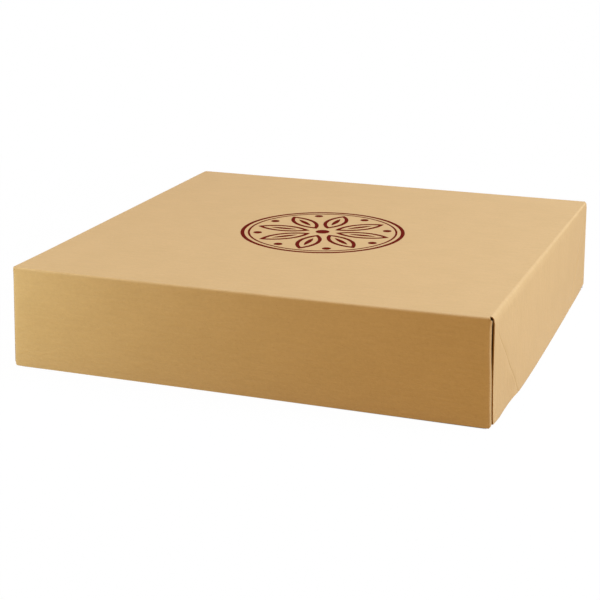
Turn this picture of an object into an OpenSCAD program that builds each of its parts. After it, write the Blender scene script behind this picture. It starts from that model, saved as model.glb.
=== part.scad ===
// Two-piece apparel box in natural kraft paperboard: a telescoping lid that drops
// right over a tray. Each piece is one die-cut sheet, folded up and glued at its four
// corners, with a diagonal crease beside each corner so that it can be shipped flat.
// Millimetres. +Z is up, the origin is the centre of the tray's underside, and the
// front panel faces -Y.

/* [Board] */
// Thickness of the paperboard
board_t = 0.8; // [0.5:0.1:1.2]
// Inside radius of every fold
fold_in_r = 0.7; // [0.3:0.1:1.2]

/* [Lid] */
// Outside width of the lid, between its side panels
lid_w = 356; // [250:1:480]
// Outside depth of the lid, between its front and back panels
lid_d = 356; // [250:1:480]
// Height of the lid, from its rim to its top
lid_h = 75.5; // [50:0.5:110]
// Height of the lid's rim above the table when the box is closed
rim_lift = 1; // [0.5:0.1:5]

/* [Fit] */
// Play between the tray and the lid on each side, past the fold's inside radius
side_play = 0.3; // [0.2:0.1:2]

/* [Corners] */
// Clear space between a vertical fold and the cut end of the side panel beside it
slit_gap = 0.7; // [0.5:0.1:3]
// Depth of the notch that the relief hole leaves in a side panel's cut end
notch_depth = 1; // [0.6:0.1:2]
// Rise of a side panel's rim at its cut end, where the rim is trimmed to a slant
rim_rise = 2; // [0.5:0.1:4]
// Length of that slant along the rim
rim_slant_len = 20; // [10:1:30]
// Height of a glue flap's outer end, which is upright
flap_end_h = 26; // [15:1:30]
// Height of a glue flap's foot above the relief hole
flap_foot_gap = 0.3; // [0.2:0.1:3]
// Rise of a glue flap's sloping edge, in degrees, steeper than the crease
flap_slope = 49; // [47:1:60]
// Set-back of a glue flap's free edge from the rim
flap_rim_gap = 2; // [0.5:0.1:4]
// Corner radius of a glue flap's outer end
flap_corner_r = 5; // [2:0.5:8]

/* [Diagonal creases] */
// Radius of the creasing rule's rounded edge
crease_r = 0.7; // [0.5:0.1:1]
// Depth of the crease in the outer face, and height of its bead on the inner face
crease_depth = 0.2; // [0.1:0.05:0.3]

/* [Print] */
// Outside diameter of the printed medallion
print_d = 130; // [110:1:200]
// Thickness of the ink film
print_t = 0.1; // [0.05:0.05:0.2]
// Width of the printed lines
print_line = 3; // [1:0.1:4]
// Width of the thin inner ring's line
print_fine_line = 1.6; // [0.6:0.1:2]
// Clear space between the two rings, and between the inner ring and the beads
print_space = 2.8; // [1:0.1:4]
// Number of petals
petals = 8; // [6:1:10]
// Width of a petal at its middle
petal_w = 18; // [10:0.5:20]
// Radius of the clear circle round the hub, where the petals start
petal_start_r = 11; // [9:0.5:16]
// Width of the solid vein inside a petal
vein_w = 4; // [2:0.1:5]
// Length of a vein, as a share of its petal's length
vein_length_share = 0.5; // [0.3:0.05:0.6]
// Radius of the solid hub
hub_r = 5.5; // [3:0.5:7]
// Radius of the beads between the petals
bead_r = 3.4; // [1.5:0.1:4]

/* [Hidden] */
$fn = 96;

KRAFT = "#D8B587";
KRAFT_INSIDE = "#CBA878";
MAROON = "#74261F";

// Overrun of a cutting shape past the face that it cuts
over = 1;

// Outside radius of every fold
fold_r = fold_in_r + board_t;

// Set-back of a side panel's cut end from the front or back panel's face
slit_w = fold_r + slit_gap;

// Radius of the relief hole, which is punched about the point where the three folds of a
// corner meet, and as far out as the foot of the notch
relief_r = sqrt(pow(slit_gap + notch_depth, 2) + pow(fold_r, 2));

// Height of a glue flap's foot
flap_foot = fold_r + relief_r + flap_foot_gap;

// Space between a lid panel and the tray panel behind it, without the glue flap
wall_play = fold_in_r + side_play;

// The tray fits inside the lid, and its rim carries the lid's top
tray_w = lid_w - 2 * (2 * board_t + wall_play);
tray_d = lid_d - 2 * (board_t + wall_play);
tray_h = rim_lift + lid_h - board_t;

// Outline of a trough seen along its fold: square at the rim, rounded at both feet
module trough_outline(width, height, r) {
    translate([-width / 2, r]) square([width, height - r]);
    translate([-width / 2 + r, 0]) square([width - 2 * r, 2 * r]);
    for (side = [-1, 1])
        translate([side * (width / 2 - r), r]) circle(r);
}

// Section of one strip of board that is folded up at both ends
module folded_strip(width, height) {
    difference() {
        trough_outline(width, height, fold_r);
        translate([0, board_t])
            trough_outline(width - 2 * board_t, height, fold_in_r);
    }
}

// The slanting trim of a side panel's rim beside its cut end: here for the corner at
// +X, -Y
module rim_slant(width, depth, height) {
    slope = rim_rise / rim_slant_len;
    translate([width / 2 - board_t - over, -depth / 2 + slit_w, height])
        rotate([90, 0, 90])
            linear_extrude(board_t + 2 * over)
                polygon([
                    [-over, -rim_rise - over * slope],
                    [rim_slant_len + over / slope, over],
                    [-over, over]
                ]);
}

// The bottom panel with the left and right side panels, whose cut ends leave the slits
module side_panels(width, depth, height) {
    difference() {
        rotate([90, 0, 0])
            linear_extrude(depth - 2 * slit_w, center = true)
                folded_strip(width, height);
        at_corners()
            rim_slant(width, depth, height);
    }
}

// The bottom panel with the front and back panels, up to the folds of the glue flaps
module end_panels(width, depth, height) {
    rotate([90, 0, 90])
        linear_extrude(width - 2 * (board_t + fold_r), center = true)
            folded_strip(depth, height);
}

// A glue flap's outline, as distance along the side panel and height: its lower edge
// rises faster than the crease, so the flap stays on the triangle that it is glued to
module flap_outline(height) {
    free_edge = height - flap_rim_gap;
    low_end = free_edge - flap_end_h;
    outer_end = fold_r + (low_end - flap_foot) / tan(flap_slope);
    difference() {
        polygon([
            [fold_r, flap_foot],
            [outer_end, low_end],
            [outer_end, free_edge],
            [fold_r, free_edge]
        ]);
        translate([outer_end - flap_corner_r, free_edge - flap_corner_r])
            difference() {
                square(flap_corner_r + over);
                circle(flap_corner_r);
            }
    }
}

// The vertical fold at the end of a front or back panel, with its glue flap, which
// turns back inside the side panel: here for the corner at +X, -Y
module corner_fold(width, depth, height) {
    translate([width / 2 - board_t - fold_r, -depth / 2 + fold_r, flap_foot])
        rotate([0, 0, -90])
            rotate_extrude(angle = 90)
                translate([fold_in_r, 0])
                    square([board_t, height - flap_rim_gap - flap_foot]);
    translate([width / 2 - 2 * board_t, -depth / 2, 0])
        rotate([90, 0, 90])
            linear_extrude(board_t)
                flap_outline(height);
}

// A rod along the crease of the corner at +X, -Y, from below the fold to past the rim
module crease_rod(width, depth, height, x) {
    translate([x, -depth / 2, 0])
        rotate([-45, 0, 0])
            cylinder(r = crease_r, h = height * sqrt(2) + crease_r + over);
}

// The bead that the crease raises on the inner face, from beside the relief hole to the
// rim, with its back sunk to the middle of the board
module crease_bead(width, depth, height) {
    start_y = -depth / 2 + slit_w + relief_r;
    start_z = fold_r + relief_r;
    inner_x = width / 2 - board_t;
    intersection() {
        crease_rod(width, depth, height, inner_x + crease_r - crease_depth);
        translate([inner_x - crease_r, start_y, start_z])
            cube([crease_r + board_t / 2, height, height - start_z]);
    }
}

// The groove that the creasing rule leaves in the outer face
module crease_groove(width, depth, height) {
    crease_rod(width, depth, height, width / 2 + crease_r - crease_depth);
}

// The round hole that is punched where three panels meet, as the folds leave it
module relief_hole(width, depth) {
    translate([width / 2 - fold_r, -depth / 2 + fold_r, fold_r])
        rotate([0, 0, -45])
            sphere(relief_r);
}

// Copies what is made at the corner at +X, -Y to all four corners
module at_corners() {
    for (flip_x = [0, 1], flip_y = [0, 1])
        mirror([flip_x, 0, 0])
            mirror([0, flip_y, 0])
                children();
}

// One sheet, folded up into a tray and glued, with its outer bottom face at z = 0
module folded_sheet(width, depth, height) {
    difference() {
        union() {
            side_panels(width, depth, height);
            end_panels(width, depth, height);
            at_corners() {
                corner_fold(width, depth, height);
                crease_bead(width, depth, height);
            }
        }
        at_corners() {
            crease_groove(width, depth, height);
            relief_hole(width, depth);
        }
    }
}

module tray() {
    color(KRAFT_INSIDE) folded_sheet(tray_w, tray_d, tray_h);
}

// The lid is the same folding turned over, on top of the tray's rim
module lid() {
    color(KRAFT)
        translate([0, 0, rim_lift + lid_h])
            mirror([0, 0, 1])
                folded_sheet(lid_w, lid_d, lid_h);
}

// A flat ring of printed line, inside the given outer radius
module ring(outer_r, line) {
    difference() {
        circle(outer_r);
        circle(outer_r - line);
    }
}

// A pointed oval along X between two places, drawn with two equal arcs
module pointed_oval(from_x, to_x, width, inset = 0) {
    length = to_x - from_x;
    arc_r = (length * length / width + width) / 4;
    intersection_for(side = [-1, 1])
        translate([(from_x + to_x) / 2, side * (arc_r - width / 2)])
            circle(arc_r - inset);
}

// Radii of the medallion, from the outside in
inner_ring_r = print_d / 2 - print_line - print_space;
petal_end_r = inner_ring_r - print_fine_line - print_space;
bead_place_r = petal_end_r - bead_r;

module petal() {
    middle_r = (petal_start_r + petal_end_r) / 2;
    vein_len = vein_length_share * (petal_end_r - petal_start_r);
    difference() {
        pointed_oval(petal_start_r, petal_end_r, petal_w);
        pointed_oval(petal_start_r, petal_end_r, petal_w, print_line);
    }
    pointed_oval(middle_r - vein_len / 2, middle_r + vein_len / 2, vein_w);
}

// A generic rosette in a double ring, printed in the middle of the lid's top
module medallion_print() {
    color(MAROON)
        translate([0, 0, rim_lift + lid_h])
            linear_extrude(print_t) {
                ring(print_d / 2, print_line);
                ring(inner_ring_r, print_fine_line);
                circle(hub_r);
                for (i = [0 : petals - 1])
                    rotate(i * 360 / petals) {
                        petal();
                        rotate(180 / petals)
                            translate([bead_place_r, 0]) circle(bead_r);
                    }
            }
}

tray();
lid();
medallion_print();
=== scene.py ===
"""A two-piece kraft apparel box: the finish and the folded shape of its lid and tray."""

import math

import bmesh
import bpy
import numpy as np
from mathutils import Matrix, Vector


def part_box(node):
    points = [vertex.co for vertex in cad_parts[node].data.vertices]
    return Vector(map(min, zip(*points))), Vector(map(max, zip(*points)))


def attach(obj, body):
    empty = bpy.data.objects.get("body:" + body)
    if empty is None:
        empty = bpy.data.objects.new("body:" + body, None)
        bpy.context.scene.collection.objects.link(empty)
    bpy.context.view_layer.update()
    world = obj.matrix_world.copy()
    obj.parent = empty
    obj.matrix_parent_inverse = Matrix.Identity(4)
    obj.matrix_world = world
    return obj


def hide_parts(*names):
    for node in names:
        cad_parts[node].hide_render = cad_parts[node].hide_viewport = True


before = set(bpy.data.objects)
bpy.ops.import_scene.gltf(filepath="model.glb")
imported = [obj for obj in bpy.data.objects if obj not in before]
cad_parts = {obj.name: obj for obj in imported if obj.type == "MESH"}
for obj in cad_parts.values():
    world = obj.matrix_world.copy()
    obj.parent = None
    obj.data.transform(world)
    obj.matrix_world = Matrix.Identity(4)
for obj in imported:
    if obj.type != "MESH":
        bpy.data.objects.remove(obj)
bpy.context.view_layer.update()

MM = 0.001
QUARTER_TURN = math.pi / 2

# The board and its corners, at the sizes that the solids have
BOARD = 0.8 * MM
FOLD_IN_R = 0.7 * MM
FOLD_R = FOLD_IN_R + BOARD
SLIT_GAP = 0.7 * MM
SLIT_W = FOLD_R + SLIT_GAP
NOTCH_DEPTH = 1.0 * MM
FLAP_END_H = 26.0 * MM
FLAP_RISE = math.tan(math.radians(49))
FLAP_RIM_GAP = 2.0 * MM
FLAP_CORNER_R = 5.0 * MM

# The film of glue between a flap and its side panel
GLUE_T = 0.05 * MM

# The slanting trim of a side panel's rim beside its cut end
RIM_RISE = 2.0 * MM
RIM_SLANT_LEN = 20.0 * MM

# The arc length of a fold, the radius of the relief hole in the plane of a panel, and
# the height of a flap's foot, where that hole ends
FOLD_ARC = FOLD_R * QUARTER_TURN
HOLE_R = SLIT_GAP + NOTCH_DEPTH
FLAP_FOOT = FOLD_R + HOLE_R

# What the hole takes off the base's corner along X, and off the end of a front or back
# panel, along it and down it
HOLE_BASE_X = 0.8 * MM
HOLE_END_X = 0.25 * MM
HOLE_END_UP = 0.3 * MM

# The share of a vertical fold's turn that its lip spans at the edge of the relief hole
LIP_SHARE = 0.55

# The crease beside each corner: how far from the corner its band of cells leaves the
# fold, and half the width of that band
CREASE_START = 9.0 * MM
CREASE_BAND = 1.5 * MM

# The groove that the creasing rule left: its half width, its depth, and how far and over
# what length it wanders
CREASE_W = 0.6 * MM
CREASE_DEPTH = 0.30 * MM
CREASE_WANDER = 0.35 * MM
CREASE_WAVE = 4.2 * MM

# A side wall's bow: how much more steeply it sets off beside its fold than a straight
# wall would, the share that its arch has dropped by where the front corner's crease ends,
# how sharply it drops past its crest, and how far short of the back corner it dies away
BOW = 0.7
ARCH_DROP = 0.13
ARCH_POWER = 1.5
CORNER_HELD = 21.0 * MM

# Brings the peak of share ** 2 * (1 - share), at two thirds, up to 1
LATE_PEAK = 27 / 4

# The height over which a wall swells out past its fold, and the length of the top's edge
# over which a corner's swell dies away
SWELL_RUN = 6.0 * MM
CORNER_RUN = 40.0 * MM

# Where a front corner stands proud of the base's edge: how far along that edge it goes,
# how far back, and how far down the walls
LIFT_RUN = 150.0 * MM
LIFT_DEEP = 70.0 * MM
LIFT_DROP = 30.0 * MM

# How far a front or back wall draws back beside its vertical fold, and over what length
SHOULDER = 0.3 * MM
SHOULDER_RUN = 7.0 * MM

# The share of a front or back wall's lean that a side wall's cut end follows
SIDE_HELD = 0.7

# How far a flap's root stands off the side panel in front of it, at the foot of the slit
# and at the rim, the heights between which it comes closer, the height over which it
# starts past the base's fold, and the length over which the flap comes back to that panel
POCKET_FOOT = 0.9 * MM
POCKET_RIM = 0.1 * MM
POCKET_FROM = 16.0 * MM
POCKET_TO = 48.0 * MM
POCKET_START = 4.0 * MM
POCKET_RUN = 12.0 * MM

# How much of that each corner has, as (left, right), in front and at the back
LOOSE_FRONT = (0.0, 1.0)
LOOSE_BACK = (0.4, 0.4)

# Where the slit's painted shade starts on a vertical fold, as the angle that the fold has
# turned, and how much of that painted shade goes where the slit closes
SLIT_SHADE_FROM = 1.35
SLIT_SHADE_CLOSED = 0.7

# Height from which the rows of a side panel close up below its slanting rim
TRIM_FROM = 12.0 * MM

# The bands of small cells beside the base's folds, along X and along Y, and the numbers
# of cells round a fold, past a relief hole and along a flap
FINE_X = 5.1 * MM
FINE_Y = 5.0 * MM
FOLD_CELLS = 6
HOLE_CELLS = 5
FLAP_CELLS = 20

# How close to a relief hole's edge a station counts as on it, and the least distance from
# its centre that a station is moved out from, both as shares of the hole's radius
ON_EDGE = 1e-6
OFF_CENTRE = 1e-3

# Points closer than this are one, and faces that meet at more than this make an edge
WELD_DIST = 0.002 * MM
SHARP_ANGLE = math.radians(40)

# The floor's shade under the box: how far its front and back lie inside its sides, the
# slope by which they go out to the right, the width of its soft edge, and how far a
# faint rest of it reaches
SHADE_END_IN = 1.8 * MM
SHADE_END_SLOPE = 0.016
SHADE_EDGE = 0.8 * MM
SHADE_REACH = 400.0 * MM

# The camera, fitted to the corners of the lid in the 600 x 600 photograph
FRAME_PX = 600
FOCAL_PX = 1569.1
SENSOR_MM = 36.0
CAMERA_AT = Vector((395.2, -1139.0, 385.8)) * MM
CAMERA_AZIMUTH = math.radians(19.981)
CAMERA_ELEVATION = math.radians(16.882)
CAMERA_ROLL = math.radians(0.106)


class Socket:
    """The output of a node. Arithmetic on it adds Math nodes."""

    def __init__(self, finish, output):
        self.finish = finish
        self.output = output

    def math(self, operation, *values):
        settings = {"operation": operation}
        return self.finish.node("ShaderNodeMath", settings, dict(enumerate(values)))

    def __add__(self, other):
        return self.math("ADD", self, other)

    def __sub__(self, other):
        return self.math("SUBTRACT", self, other)

    def __mul__(self, other):
        return self.math("MULTIPLY", self, other)

    def __rsub__(self, other):
        return self.math("SUBTRACT", other, self)

    def __abs__(self):
        return self.math("ABSOLUTE", self)

    __radd__ = __add__
    __rmul__ = __mul__

    def smaller(self, other):
        return self.math("MINIMUM", self, other)

    def larger(self, other):
        return self.math("MAXIMUM", self, other)

    def step(self, low, high):
        """Rises smoothly from 0 where this is low to 1 where it is high."""
        settings = {"interpolation_type": "SMOOTHSTEP"}
        values = {"Value": self, "From Min": low, "From Max": high}
        return self.finish.node("ShaderNodeMapRange", settings, values)

    def beside(self, output):
        """Another output of the same node."""
        return Socket(self.finish, self.output.node.outputs[output])


class Finish:
    """A material or the world, built node by node."""

    def __init__(self, owner):
        owner.use_nodes = True
        self.tree = owner.node_tree
        self.tree.nodes.clear()

    def node(self, kind, settings, values, output=0):
        """Adds a node of a kind, sets it, then fills its sockets with numbers or links."""
        made = self.tree.nodes.new(kind)
        for name, value in settings.items():
            setattr(made, name, value)
        for key, value in values.items():
            if isinstance(value, Socket):
                self.tree.links.new(value.output, made.inputs[key])
            else:
                made.inputs[key].default_value = value
        return Socket(self, made.outputs[output])

    def position(self):
        return self.node("ShaderNodeTexCoord", {}, {}, "Object")

    def attribute(self, name, output="Fac"):
        return self.node("ShaderNodeAttribute", {"attribute_name": name}, {}, output)

    def stretched(self, where, x, y, z):
        """A place whose three coordinates are scaled by their own factors."""
        settings = {"operation": "MULTIPLY"}
        return self.node("ShaderNodeVectorMath", settings, {0: where, 1: (x, y, z)})

    def noise(self, where, per_metre, detail=2.0, rough=0.5):
        """A cloudy pattern from 0 to 1, with about per_metre patches along a metre."""
        values = {"Vector": where, "Scale": per_metre, "Detail": detail, "Roughness": rough}
        return self.node("ShaderNodeTexNoise", {}, values, "Fac")

    def mix(self, share, first, second):
        """A colour that goes from the first to the second as share goes from 0 to 1."""
        settings = {"data_type": "RGBA"}
        return self.node("ShaderNodeMix", settings, {0: share, 6: first, 7: second}, 2)

    def tint(self, colour, factor):
        """A colour made lighter or darker by a factor."""
        settings = {"operation": "SCALE"}
        return self.node("ShaderNodeVectorMath", settings, {"Vector": colour, "Scale": factor})

    def relief(self, height, strength, distance):
        """A normal that follows a height, where a height of 1 is the given distance."""
        values = {"Strength": strength, "Distance": distance, "Height": height}
        return self.node("ShaderNodeBump", {}, values)

    def blend(self, share, first, second):
        """A shader that goes from the first to the second as share goes from 0 to 1."""
        return self.node("ShaderNodeMixShader", {}, {0: share, 1: first, 2: second})

    def surface(self, shader, kind="ShaderNodeOutputMaterial"):
        output = self.tree.nodes.new(kind)
        self.tree.links.new(shader.output, output.inputs["Surface"])

    def coat(self, colour, rough, gloss, normal):
        """The whole surface: a colour and a roughness, an even gloss and a relief."""
        values = {
            "Base Color": colour,
            "Roughness": rough,
            "Specular IOR Level": gloss,
            "Normal": normal,
        }
        self.surface(self.node("ShaderNodeBsdfPrincipled", {}, values))


def rgb(red, green, blue):
    return (red, green, blue, 1.0)


# How strongly each pattern colours the board: its clouds, with formation as the rest, its
# fibres, its specks, a fold's paleness, partly stretched fibres and partly a painted highlight,
# and the painted shade on the root of a fold inside the slit
CLOUD_SHARE = 0.45
FIBRE_SHARE = 0.16
SPECK_SHARE = 0.35
FOLD_PALE_HIGHLIGHT_SHARE = 0.02
SLIT_SHADE_SHARE = 0.85

# The colour of the painted shade on that root, which stands for the little light that reaches it
# only off the board around it
SLIT_SHADE_TONE = rgb(0.10, 0.035, 0.004)


def kraft_board(name, base, pale, dark, fleck, gloss):
    """Unbleached paperboard: cloudy formation, short fibres, streaks and specks that lie
    mostly along the grain of the flat sheet, and a soft tooth. Its folds are a little
    paler, partly as stretched fibres and partly as a painted highlight, and painted shade
    darkens a vertical fold where it turns into a slit. The relief is mostly broad formation
    and streaks, so that it shows where the light grazes a wall."""
    made = bpy.data.materials.new(name)
    board = Finish(made)
    sheet = board.attribute("sheet", "Vector")
    fold = board.attribute("fold")
    # How much of the slit's painted shade each point gets, worked out on the mesh
    slit_shade = board.attribute("slit_shade")
    cloud = board.noise(sheet, per_metre=34.0, detail=3.0)
    formation = board.noise(sheet, per_metre=340.0, detail=3.0, rough=0.6)
    tooth = board.noise(sheet, per_metre=2600.0, rough=0.6)
    strands = board.noise(board.stretched(sheet, 0.3, 1.0, 1.0), per_metre=1150.0)
    streaks = board.noise(
        board.stretched(sheet, 0.2, 1.0, 1.0), per_metre=280.0, detail=3.0, rough=0.65
    )
    specks = board.noise(sheet, per_metre=900.0, detail=1.0)
    dark_fibre = strands.step(0.60, 0.74)
    pale_fibre = 1 - strands.step(0.26, 0.40)
    dark_speck = specks.step(0.70, 0.76)
    pale_speck = 1 - specks.step(0.22, 0.27)
    clouded = cloud.step(0.3, 0.7) * CLOUD_SHARE
    formed = formation.step(0.3, 0.7) * (1 - CLOUD_SHARE)
    colour = board.mix(clouded + formed, base, pale)
    colour = board.mix(dark_fibre * FIBRE_SHARE + dark_speck * SPECK_SHARE, colour, dark)
    colour = board.mix(pale_fibre * FIBRE_SHARE + pale_speck * SPECK_SHARE, colour, fleck)
    # Folds a little paler: partly stretched fibres, partly a painted highlight
    colour = board.mix(fold * FOLD_PALE_HIGHLIGHT_SHARE, colour, fleck)
    # Painted shade where a vertical fold turns into the slit
    colour = board.mix(slit_shade * SLIT_SHADE_SHARE, colour, SLIT_SHADE_TONE)
    colour = board.tint(colour, 0.92 + tooth * 0.05 + streaks * 0.11)
    rough = 0.54 + formation * 0.10 - fold * 0.05
    height = tooth * 0.4 + formation * 3.2 + streaks * 3.8 + strands * 0.5
    normal = board.relief(height, strength=0.35, distance=0.14 * MM)
    board.coat(colour, rough, gloss, normal)
    return made


def raw_edge(name, base, dark):
    """The cut edge of the board, where its plies show as darker, rougher fibres."""
    made = bpy.data.materials.new(name)
    edge = Finish(made)
    plies = edge.noise(edge.position(), per_metre=1900.0, detail=3.0, rough=0.7)
    colour = edge.mix(plies.step(0.35, 0.65), base, dark)
    normal = edge.relief(plies, strength=0.5, distance=0.2 * MM)
    edge.coat(colour, rough=0.9, gloss=0.2, normal=normal)
    return made


def printed_ink(name, base, pale):
    """One flat colour of ink, a little thinner where the board's fibres stand up."""
    made = bpy.data.materials.new(name)
    ink = Finish(made)
    where = ink.position()
    fibres = ink.noise(where, per_metre=520.0, detail=3.0, rough=0.6)
    tooth = ink.noise(where, per_metre=2600.0, rough=0.6)
    thin = fibres.step(0.52, 0.8) * 0.35 + tooth.step(0.6, 0.85) * 0.2
    colour = ink.mix(thin, base, pale)
    normal = ink.relief(tooth, strength=0.25, distance=0.1 * MM)
    ink.coat(colour, 0.5 + fibres * 0.12, gloss=0.0, normal=normal)
    return made


def spans(*parts):
    """Stations along a line: each part is (from, to, number of steps)."""
    runs = [np.linspace(low, high, steps + 1)[:-1] for low, high, steps in parts]
    return np.concatenate(runs + [[parts[-1][1]]])


def both_sides(half):
    """The stations of one half, which start at the middle, mirrored onto the other."""
    return np.concatenate([-half[:0:-1], half])


def wall_rows(height):
    """Heights of the rows of cells from the foot of a flap to the rim."""
    return spans((FLAP_FOOT, TRIM_FROM, 6), (TRIM_FROM, height, 18))


def sheet_stations(half, height, inner):
    """Arc lengths from the middle of a sheet to its rim: across the base in the given
    inner stations, round the fold, past the foot of a flap and up to the rim."""
    start = half - FOLD_R
    arc = np.linspace(0, FOLD_ARC, FOLD_CELLS + 1)[:-1] + start
    foot = np.linspace(0, HOLE_R, HOLE_CELLS + 1)[:-1] + start + FOLD_ARC
    return np.concatenate([inner, arc, foot, wall_rows(height) - FOLD_R + start + FOLD_ARC])


def ramp(share):
    """Follows a share from 0 to 1, and stays level before and past them."""
    return np.clip(share, 0, 1)


def smooth(share):
    """Rises from 0 to 1 with level ends as share goes from 0 to 1."""
    share = ramp(share)
    return share * share * (3 - 2 * share)


def fold_up(length, half):
    """Place and height of a point at an arc length from the middle of a sheet: flat up
    to the fold, round a quarter circle, then straight up. Also how far round it is,
    as 0 on a flat and 1 in the middle of the fold."""
    run = np.abs(length)
    start = half - FOLD_R
    turn = np.clip((run - start) / FOLD_R, 0, QUARTER_TURN)
    out = np.minimum(run, start) + FOLD_R * np.sin(turn)
    up = FOLD_R * (1 - np.cos(turn)) + np.maximum(run - start - FOLD_ARC, 0)
    return np.sign(length) * out, up, np.sin(2 * turn)


def past_fold(length, half):
    """Distance past a fold's arc, negative before it and zero on it."""
    run = np.abs(length) - (half - FOLD_R)
    return np.minimum(run, 0) + np.maximum(run - FOLD_ARC, 0)


def punch(across, along, half_w, half_d):
    """Moves the stations that fall inside a relief hole straight out to its edge, and
    says which they are. It is round in a side panel, narrower along X in the base, and
    takes less off a front or back panel."""
    past_x = past_fold(across, half_w)
    past_y = past_fold(along, half_d)
    reach_x = np.where(past_x < 0, np.where(past_y < 0, HOLE_BASE_X, HOLE_END_X), HOLE_R)
    reach_y = np.where(past_y > 0, HOLE_END_UP, HOLE_R)
    away = np.hypot(past_x / reach_x, past_y / reach_y)
    inside = away < 1 - ON_EDGE
    grow = np.where(inside, 1 / np.maximum(away, OFF_CENTRE), 1.0) - 1
    new_across = across + np.sign(across) * past_x * grow
    new_along = along + np.sign(along) * past_y * grow
    return new_across, new_along, inside


def fan_out(along, up, half_d):
    """Slides the stations of a side panel along it so that one band of them follows
    the crease: at the fold the band leaves CREASE_START from the corner, and higher up
    it lies as far from the corner as it is high."""
    run = np.abs(along)
    from_corner = np.maximum(up, CREASE_START)
    knot_in = half_d - CREASE_START - CREASE_BAND
    knot_out = half_d - CREASE_START + CREASE_BAND
    end = half_d - SLIT_W
    low = half_d - from_corner - CREASE_BAND
    high = half_d - from_corner + CREASE_BAND
    inner = run * low / knot_in
    band = run - knot_in + low
    outer = high + (run - knot_out) * (end - high) / (end - knot_out)
    moved = np.where(run < knot_in, inner, np.where(run < knot_out, band, outer))
    return np.sign(along) * moved


def wall_shape(
    start,
    end,
    swell_start,
    swell_end,
    belly=0.0,
    hollow=0.0,
    crest=170.0,
    corner=(0.0, 0.0),
    dent=0.0,
    raised=(0.0, 0.0),
):
    """A wall's shape, given in millimetres: its lean and its swell at its two corners,
    its belly, the hollow that the glue flap holds in it and how far from the front corner
    its crest is, its flare at the front corner, at the fold and at the rim, its dent
    there, and how far the base's two corners stand proud beside it."""
    return {
        "corner": corner[0] * MM,
        "rim_corner": corner[1] * MM,
        "dent": dent * MM,
        "lift_left": raised[0] * MM,
        "lift_right": raised[1] * MM,
        "start": start * MM,
        "end": end * MM,
        "swell_start": swell_start * MM,
        "swell_end": swell_end * MM,
        "belly": belly * MM,
        "hollow": hollow * MM,
        "crest": crest * MM,
    }


def lean_out(x, y, up, size, lean, held=1.0):
    """Leans the walls out of square, as the glued corners leave them. A wall stands
    proud of its fold by its swell, and from there its rim goes out by an amount that
    runs from corner to corner. A side wall also bellies out between its corners, and
    beside a corner it is held back by the glue flap, so it bends along the crease. A
    side wall follows the lean of the front and back walls by the share that is held.
    Front and back walls draw back a little towards their vertical folds."""
    half_w, half_d, height = size
    right = x / (2 * half_w) + 0.5
    back = y / (2 * half_d) + 0.5
    ahead = (1 - ramp((y + half_d) / CORNER_RUN)) ** 2
    out_left = wall_out(lean["left"], back, up, height) + belly(lean["left"], y, up, size)
    out_right = wall_out(lean["right"], back, up, height) + belly(lean["right"], y, up, size)
    out_right = out_right + corner_flare(lean["right"], up, height) * ahead
    out_front = wall_out(lean["front"], right, up, height)
    out_back = wall_out(lean["back"], right, up, height)
    new_x = x + right * out_right - (1 - right) * out_left
    new_y = y + held * (back * out_back - (1 - back) * out_front)
    near_end = ramp((np.abs(x) - half_w + SHOULDER_RUN) / (SHOULDER_RUN - FOLD_R - BOARD))
    new_y = new_y - SHOULDER * near_end ** 2 * ramp(up / SWELL_RUN) * y / half_d
    return new_x, new_y


def wall_out(wall, share, up, height):
    """How far a wall stands out, at a share of the way between its two corners: the
    swell grows fast past the fold and then stays, and the lean grows evenly to the rim."""
    lean = wall["start"] + (wall["end"] - wall["start"]) * share
    swell = wall["swell_start"] + (wall["swell_end"] - wall["swell_start"]) * share
    past = ramp(up / SWELL_RUN)
    return lean * up / height + swell * past * (2 - past)


def corner_flare(wall, up, height):
    """How far the board stands out at the front corner alone: its own amount at the
    fold, half the rim's amount once past the fold, and all of that at the rim, less a
    dent that is deepest two thirds of the way to the rim."""
    past = ramp(up / SWELL_RUN)
    share = up / height
    dent = wall["dent"] * LATE_PEAK * share ** 2 * (1 - share)
    return wall["corner"] * (1 - past) + wall["rim_corner"] * past * (1 + share) / 2 - dent


def belly(wall, y, up, size):
    """How far a side wall bellies out: a long low arch along its rim, with its crest
    wall["crest"] from the front corner, which dies away CORNER_HELD from the back one.
    Short of the crease it runs straight down to nothing at the corner, less the hollow
    that the glue flap holds."""
    half_d, height = size[1:]
    crest = wall["crest"]
    depth = 2 * half_d
    near = np.clip(y + half_d, 0, depth)
    before = 1 - ARCH_DROP * ((crest - np.clip(near, height, crest)) / (crest - height)) ** 2
    after = 1 - ramp((near - crest) / (depth - CORNER_HELD - crest)) ** ARCH_POWER
    arch = wall["belly"] * np.where(near < crest, before, after) * bow(up / height)
    foot = wall["belly"] * (1 - ARCH_DROP) * bow(np.minimum(near / height, 1))
    inside = np.maximum(up - near, 0)
    hollow = wall["hollow"] * LATE_PEAK * near ** 2 * inside / height ** 3
    crease = np.where(near < up, foot - hollow, arch)
    return crease - crease_groove(near, up) - crease_groove(depth - near, up)


def bow(share):
    """Rises from 0 to 1, steeply at first and gently at the end."""
    return share * (1 + BOW * (1 - share))


def crease_groove(from_corner, up):
    """The groove along the crease: a bell across it, which wanders a little along its
    length and fades out towards the corner."""
    wander = CREASE_WANDER * np.sin(up / CREASE_WAVE)
    across = (from_corner - up) / math.sqrt(2) - wander
    fade = ramp((up - CREASE_START) / CREASE_START)
    return CREASE_DEPTH * np.exp(-(across / CREASE_W) ** 2) * fade


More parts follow.
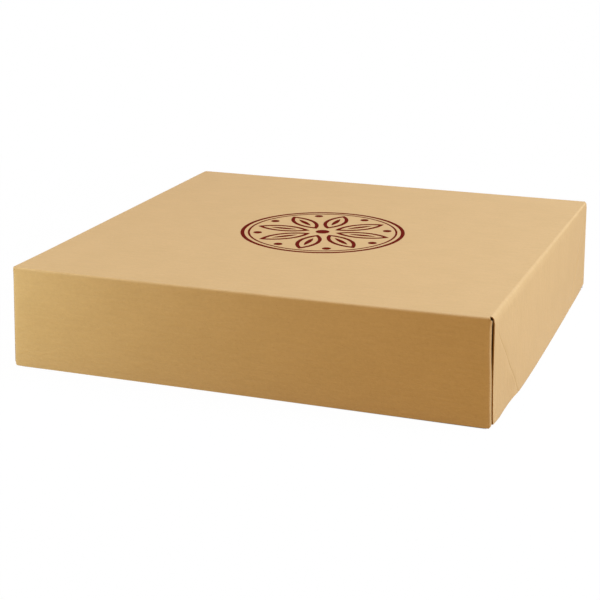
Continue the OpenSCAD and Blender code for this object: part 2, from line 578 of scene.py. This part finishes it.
def lift(x, y, up, size, wall):
    """How far the base's front corners stand proud of its front edge, on the left and on
    the right: most at the corner, and dying away along the base and down the walls."""
    half_w, half_d = size[:2]
    left = wall["lift_left"] * ramp(1 - (half_w + x) / LIFT_RUN) ** 2
    right = wall["lift_right"] * ramp(1 - (half_w - x) / LIFT_RUN) ** 2
    ahead = ramp(1 - (y + half_d) / LIFT_DEEP) ** 2
    return (left + right) * ahead * ramp(1 - up / LIFT_DROP)


def pocket_closed(up):
    """How far the slit's pocket has closed at a height: 0 near its foot, 1 at the rim."""
    return smooth((up - POCKET_FROM) / (POCKET_TO - POCKET_FROM))


def pocket(x, y, up, half_w, fade):
    """Draws a front or back wall in from the side panels at its ends, so that a shadow
    shows in the slit: most at the foot of the slit, least at the rim, none at the fold,
    and more at a loose corner."""
    near = np.where(x > 0, LOOSE_FRONT[1], LOOSE_FRONT[0])
    far = np.where(x > 0, LOOSE_BACK[1], LOOSE_BACK[0])
    loose = np.where(y < 0, near, far)
    depth = (POCKET_FOOT + (POCKET_RIM - POCKET_FOOT) * pocket_closed(up)) * loose
    return x * (1 - depth * smooth((up - FOLD_R) / POCKET_START) * fade / half_w)


def slit_shade_amount(turn, up):
    """How much of the slit's painted shade a point of the vertical fold gets, from 0 to 1: it
    grows over the last part of the turn, and less so where the slit closes towards the rim."""
    deep = smooth((turn - SLIT_SHADE_FROM) / (QUARTER_TURN - SLIT_SHADE_FROM))
    return deep * (1 - SLIT_SHADE_CLOSED * pocket_closed(up))


def trim_rim(y, up, size):
    """Lowers the upper part of a side panel beside its cut end, evenly between a line
    above its fold and the rim, so that the rim slants."""
    half_d, height = size[1:]
    past = (half_d - SLIT_W - np.abs(y)) / RIM_SLANT_LEN
    rise = RIM_RISE * ramp(1 - past)
    return up - rise * ramp((up - TRIM_FROM) / (height - TRIM_FROM))


def on_sheet(across, along):
    """The place on the flat sheet of each point, for the grain of the board."""
    return np.stack([across, along, 0 * across], -1).reshape(-1, 3)


def grid_faces(shape, flip, keep=None):
    """The four-sided cells of a grid of points: all, or those where keep is true."""
    index = np.arange(shape[0] * shape[1]).reshape(shape)
    cells = np.stack([index[:-1, :-1], index[1:, :-1], index[1:, 1:], index[:-1, 1:]], -1)
    cells = cells.reshape(-1, 4) if keep is None else cells[keep]
    return cells[:, ::-1] if flip else cells


def plus_sheet(size, lean, flip):
    """The base and the four walls of a folded sheet, up to the folds of its flaps."""
    half_w, half_d, height = size
    flap_root = half_w - BOARD - FOLD_R
    inner_x = spans((0, half_w - FINE_X, 14), (half_w - FINE_X, half_w - FOLD_R, 9))[:-1]
    band = half_d - CREASE_START
    inner_y = spans(
        (0, band - CREASE_BAND, 16),
        (band - CREASE_BAND, band + CREASE_BAND, 12),
        (band + CREASE_BAND, half_d - FINE_Y, 3),
        (half_d - FINE_Y, half_d - FOLD_R, 10),
    )[:-1]
    line_x = both_sides(sheet_stations(half_w, height, inner_x))
    line_y = both_sides(sheet_stations(half_d, height, inner_y))
    mid_x, mid_y = np.meshgrid(
        np.abs(line_x[1:] + line_x[:-1]) / 2, np.abs(line_y[1:] + line_y[:-1]) / 2, indexing="ij"
    )
    on_base = (mid_x < half_w - FOLD_R) & (mid_y < half_d - FOLD_R)
    on_side = (mid_x > half_w - FOLD_R) & (mid_y < half_d - SLIT_W)
    on_end = (mid_y > half_d - FOLD_R) & (mid_x < flap_root)
    in_end_fold = np.abs(mid_y - half_d + FOLD_R - FOLD_ARC / 2) < FOLD_ARC / 2
    on_end |= in_end_fold & (mid_x < half_w - FOLD_R)
    across, along = np.meshgrid(line_x, line_y, indexing="ij")
    across, along, inside = punch(across, along, half_w, half_d)
    lost = inside[:-1, :-1] & inside[1:, :-1] & inside[1:, 1:] & inside[:-1, 1:]
    x, up_x, fold_x = fold_up(across, half_w)
    along = np.where(up_x > 0, fan_out(along, up_x, half_d), along)
    y, up_y, fold_y = fold_up(along, half_d)
    x = np.where(up_y > 0, pocket(x, y, up_y, half_w, 1), x)
    up = trim_rim(y, up_x, size) + up_y
    down = up - lift(x, y, up, size, lean["front"])
    x, y = lean_out(x, y, up, size, lean, np.where(up_x > 0, SIDE_HELD, 1.0))
    points = np.stack([x, y, down], -1).reshape(-1, 3)
    fold = np.maximum(fold_x, fold_y).reshape(-1)
    faces = grid_faces(x.shape, not flip, (on_base | on_side | on_end) & ~lost)
    return points, fold, 0 * fold, on_sheet(across, along), faces


def turned_end(turn, past, up, size, lean, side, end):
    """The end of a front or back wall: round its vertical fold by an angle, and then
    straight on inside the side wall by the distance past it. Gives the points, how far
    round the fold each is, and how much of the slit's painted shade each gets."""
    half_w, half_d = size[:2]
    rooted = 1 - smooth(past / POCKET_RUN)
    x = half_w - BOARD - FOLD_R + FOLD_R * np.sin(turn)
    x = x - GLUE_T * np.sin(turn) ** 2
    y = end * (half_d - FOLD_R + FOLD_R * np.cos(turn) - past)
    x = pocket(side * x, y, up, half_w, rooted)
    down = up - lift(x, y, up, size, lean["front"])
    x, y = lean_out(x, y, up, size, lean)
    points = np.stack([x, y, down], -1).reshape(-1, 3)
    # How much of the slit's painted shade each point gets
    slit_shade = slit_shade_amount(turn, up) * rooted
    return points, np.sin(2 * turn).reshape(-1), slit_shade.reshape(-1)


def glue_flap(size, lean, side, end, flip):
    """The vertical fold at one end of a front or back wall, and the flap that it turns
    into, which lies flat inside the side wall: the lower edge of the flap slopes up
    steeper than the crease, and its far top corner is round."""
    half_w, half_d, height = size
    free_edge = height - FLAP_RIM_GAP
    low_end = free_edge - FLAP_END_H
    flap_len = (low_end - FLAP_FOOT) / FLAP_RISE
    rows = wall_rows(height)
    arc = np.linspace(0, FOLD_ARC, FOLD_CELLS + 1)
    run = np.concatenate([arc, FOLD_ARC + spans((0, flap_len, FLAP_CELLS))[1:]])
    run, row = np.meshgrid(run, (rows - FLAP_FOOT) / (height - FLAP_FOOT), indexing="ij")
    past = np.maximum(run - FOLD_ARC, 0)
    foot = FLAP_FOOT + past * FLAP_RISE
    edge = height - FLAP_RIM_GAP * ramp(run / FOLD_ARC)
    up = foot + row * (edge - foot)
    near_corner = np.clip(up - (free_edge - FLAP_CORNER_R), 0, FLAP_CORNER_R)
    inset = FLAP_CORNER_R - np.sqrt(FLAP_CORNER_R ** 2 - near_corner ** 2)
    past = past * (1 - inset / flap_len)
    turn = np.clip(run / FOLD_R, 0, QUARTER_TURN)
    points, fold, slit_shade = turned_end(turn, past, up, size, lean, side, end)
    sheet = on_sheet(side * (half_w - FOLD_R + run), end * (half_d + up))
    return points, fold, slit_shade, sheet, grid_faces(run.shape, flip ^ (side * end > 0))


def fold_lip(size, lean, side, end, flip):
    """The part of a corner's vertical fold between its flap's foot and the relief hole,
    whose edge runs round the fold from the end of the front or back panel."""
    half_w, half_d = size[:2]
    rows = np.linspace(0, HOLE_R, HOLE_CELLS + 1)[1:] + FOLD_R
    reach = LIP_SHARE + (1 - LIP_SHARE) * np.sqrt((rows - rows[0]) / (rows[-1] - rows[0]))
    run, up = np.meshgrid(np.linspace(0, QUARTER_TURN, FOLD_CELLS + 1), rows, indexing="ij")
    turn = run * reach
    points, fold, slit_shade = turned_end(turn, 0, up, size, lean, side, end)
    sheet = on_sheet(side * (half_w - FOLD_R + turn * FOLD_R), end * (half_d + up))
    return points, fold, slit_shade, sheet, grid_faces(run.shape, flip ^ (side * end > 0))


def folded_sheet(name, node, upside_down, lean, board, inner, edge):
    """One die-cut sheet, folded up and glued, in the place of a solid: the outer face
    is worked out first, and the board then takes its thickness inwards from it."""
    low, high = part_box(node)
    size = ((high.x - low.x) / 2, (high.y - low.y) / 2, high.z - low.z)
    parts = [plus_sheet(size, lean, upside_down)]
    for side in (-1, 1):
        for end in (-1, 1):
            parts.append(glue_flap(size, lean, side, end, upside_down))
            parts.append(fold_lip(size, lean, side, end, upside_down))
    points, folds, slit_shades, sheets, faces = zip(*parts)
    starts = np.cumsum([0] + [len(part) for part in points[:-1]])
    faces = np.concatenate([part + start for part, start in zip(faces, starts)])
    used = np.unique(faces)
    points = np.concatenate(points)
    renumber = np.zeros(len(points), int)
    renumber[used] = np.arange(len(used))
    points = points[used]
    points[:, 2] = high.z - points[:, 2] if upside_down else low.z + points[:, 2]
    mesh = bpy.data.meshes.new(name)
    mesh.from_pydata(points.tolist(), [], renumber[faces].tolist())
    # Stores how far round a fold each point is, and how much of the slit's painted shade it gets
    for label, amounts in (("fold", folds), ("slit_shade", slit_shades)):
        values = np.concatenate(amounts)[used]
        mesh.attributes.new(label, "FLOAT", "POINT").data.foreach_set("value", values)
    flat = mesh.attributes.new("sheet", "FLOAT_VECTOR", "POINT")
    flat.data.foreach_set("vector", np.concatenate(sheets)[used].ravel())
    weld(mesh)
    piece = bpy.data.objects.new(name, mesh)
    bpy.context.scene.collection.objects.link(piece)
    for material in (board, inner, edge):
        mesh.materials.append(material)
    wall = piece.modifiers.new("board", "SOLIDIFY")
    wall.thickness = BOARD
    wall.offset = -1
    wall.use_even_offset = True
    wall.use_rim = True
    wall.material_offset = 1
    wall.material_offset_rim = 2
    harden(piece)
    return piece


def weld(mesh):
    """Makes one point of those that fall together, and drops cells left without area."""
    shell = bmesh.new()
    shell.from_mesh(mesh)
    bmesh.ops.remove_doubles(shell, verts=shell.verts, dist=WELD_DIST)
    bmesh.ops.dissolve_degenerate(shell, edges=shell.edges, dist=WELD_DIST)
    shell.to_mesh(mesh)
    shell.free()


def harden(piece):
    """Applies the modifiers, and shades faces smooth except across cut edges."""
    depsgraph = bpy.context.evaluated_depsgraph_get()
    solid = bpy.data.meshes.new_from_object(piece.evaluated_get(depsgraph))
    piece.modifiers.clear()
    piece.data = solid
    solid.polygons.foreach_set("use_smooth", np.ones(len(solid.polygons), bool))
    solid.set_sharp_from_angle(angle=SHARP_ANGLE)
    solid.update()


def place_camera():
    """The camera looks along its azimuth and elevation, turned by its roll."""
    flat = math.cos(CAMERA_ELEVATION)
    back = Vector((
        math.sin(CAMERA_AZIMUTH) * flat,
        -math.cos(CAMERA_AZIMUTH) * flat,
        math.sin(CAMERA_ELEVATION),
    ))
    right = Vector((0, 0, 1)).cross(back).normalized()
    up = back.cross(right)
    tilt_right = math.cos(CAMERA_ROLL) * right + math.sin(CAMERA_ROLL) * up
    tilt_up = math.cos(CAMERA_ROLL) * up - math.sin(CAMERA_ROLL) * right
    lens = bpy.data.cameras.new("camera")
    lens.sensor_width = SENSOR_MM
    lens.sensor_fit = "HORIZONTAL"
    lens.lens = FOCAL_PX / FRAME_PX * SENSOR_MM
    camera = bpy.data.objects.new("camera", lens)
    bpy.context.scene.collection.objects.link(camera)
    turned = Matrix((tilt_right, tilt_up, back)).transposed()
    camera.matrix_world = Matrix.Translation(CAMERA_AT) @ turned.to_4x4()
    bpy.context.scene.camera = camera


def area_lamp(name, place, target, size, watts):
    """A soft square lamp that faces a point, with its red, green and blue power."""
    light = bpy.data.lights.new(name, "AREA")
    light.shape = "SQUARE"
    light.size = size
    light.energy = max(watts)
    light.color = [share / max(watts) for share in watts]
    lamp = bpy.data.objects.new(name, light)
    lamp.location = place
    lamp.rotation_euler = (Vector(target) - Vector(place)).to_track_quat("-Z", "Y").to_euler()
    bpy.context.scene.collection.objects.link(lamp)


def seen_white(finish):
    """1 where the camera, a gloss or a clear material looks straight at the backdrop."""
    camera = finish.node("ShaderNodeLightPath", {}, {}, "Is Camera Ray")
    glossy = camera.beside("Is Glossy Ray")
    through = camera.beside("Is Transmission Ray")
    return (camera + glossy + through).smaller(1.0)


def studio_world(light):
    """White to the eye, and an even soft warm light on the object."""
    world = bpy.data.worlds.new("studio")
    bpy.context.scene.world = world
    sky = Finish(world)
    soft = sky.node("ShaderNodeBackground", {}, {"Color": light, "Strength": 1.0})
    white = sky.node("ShaderNodeBackground", {}, {"Color": rgb(1, 1, 1), "Strength": 1.0})
    sky.surface(sky.blend(seen_white(sky), soft, white), "ShaderNodeOutputWorld")


def studio_floor(half, under, bounce, shadow):
    """A pale floor. It looks white, darkens a little in shade round the object, and has
    its full shade under the object, as far out as the given half width. The object gets
    the floor's bounce colour from it."""
    mesh = bpy.data.meshes.new("floor")
    corners = [(-half, -half, 0), (half, -half, 0), (half, half, 0), (-half, half, 0)]
    mesh.from_pydata(corners, [], [(0, 1, 2, 3)])
    floor = bpy.data.objects.new("floor", mesh)
    bpy.context.scene.collection.objects.link(floor)
    material = bpy.data.materials.new("floor")
    paint = Finish(material)
    x = paint.node("ShaderNodeSeparateXYZ", {}, {0: paint.position()}, "X")
    y = x.beside("Y")
    past_side = abs(x) - under
    past_end = abs(y) - (x * SHADE_END_SLOPE + under - SHADE_END_IN)
    away = past_side.larger(past_end)
    near = 1 - away.step(0.0, SHADE_EDGE)
    shade = shadow * (1 - away.step(0.0, SHADE_REACH)) + (1 - shadow) * near
    lit = paint.node("ShaderNodeBsdfDiffuse", {}, {"Color": rgb(0.9, 0.88, 0.84)})
    white = paint.node("ShaderNodeEmission", {}, {"Color": rgb(1, 1, 1), "Strength": 1.0})
    dull = paint.node("ShaderNodeBsdfDiffuse", {}, {"Color": bounce})
    paint.surface(paint.blend(seen_white(paint), dull, paint.blend(shade, white, lit)))
    mesh.materials.append(material)


place_camera()
studio_world(rgb(0.57, 0.318, 0.092))
studio_floor(half=8.0, under=178.0 * MM, bounce=rgb(0.45, 0.32, 0.09), shadow=0.02)
area_lamp(
    "key", place=(1.3, 0.0, 0.72), target=(0.178, -0.03, 0.04), size=0.8, watts=(12.7, 17.0, 25.0)
)
area_lamp(
    "overhead", place=(0.2, 0.3, 2.2), target=(0, 0, 0.03), size=2.0, watts=(17.2, 27.7, 40.5)
)
area_lamp(
    "left_fill",
    place=(-0.45, -0.42, 0.12),
    target=(-0.15, -0.18, 0.04),
    size=0.25,
    watts=(1.17, 1.65, 1.95),
)

# Front and back walls run from left to right, and side walls from front to back
LID_LEAN = {
    "left": wall_shape(2.9, 1.2, -0.6, 0.4, belly=2.4, hollow=0.5, crest=150),
    "right": wall_shape(
        1.9, 0.6, 2.1, 0.3, belly=2.8, hollow=1.3, crest=125, corner=(1.2, 0.9), dent=0.55
    ),
    "front": wall_shape(-0.9, 3.2, 0.0, 0.0, raised=(0.5, 0.75)),
    "back": wall_shape(2.6, 4.3, 0.0, 0.0),
}
TRAY_LEAN = {
    "left": wall_shape(0, 0, 0, 0, belly=-0.8),
    "right": wall_shape(0, 0, 0, 0, belly=-0.9, crest=190),
    "front": wall_shape(0, 0, 0, 0),
    "back": wall_shape(0, 0, 0, 0),
}

OUTER = kraft_board(
    "kraft_outer",
    base=rgb(0.56, 0.353, 0.140),
    pale=rgb(0.595, 0.379, 0.155),
    dark=rgb(0.38, 0.20, 0.07),
    fleck=rgb(0.72, 0.50, 0.25),
    gloss=0.25,
)
INNER = kraft_board(
    "kraft_inner",
    base=rgb(0.52, 0.31, 0.115),
    pale=rgb(0.56, 0.35, 0.14),
    dark=rgb(0.34, 0.17, 0.06),
    fleck=rgb(0.68, 0.47, 0.24),
    gloss=0.35,
)
EDGE = raw_edge("board_edge", base=rgb(0.46, 0.25, 0.08), dark=rgb(0.28, 0.13, 0.035))
INK = printed_ink("maroon_ink", base=rgb(0.138, 0.013, 0.008), pale=rgb(0.20, 0.04, 0.022))

lid = folded_sheet("lid_sheet", "lid", True, LID_LEAN, OUTER, INNER, EDGE)
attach(lid, "lid")
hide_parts("lid")

tray = folded_sheet("tray_sheet", "tray", False, TRAY_LEAN, OUTER, INNER, EDGE)
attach(tray, "tray")
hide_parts("tray")

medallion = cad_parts["medallion_print"]
medallion.data.materials.clear()
medallion.data.materials.append(INK)

scene = bpy.context.scene
scene.view_settings.view_transform = "Standard"
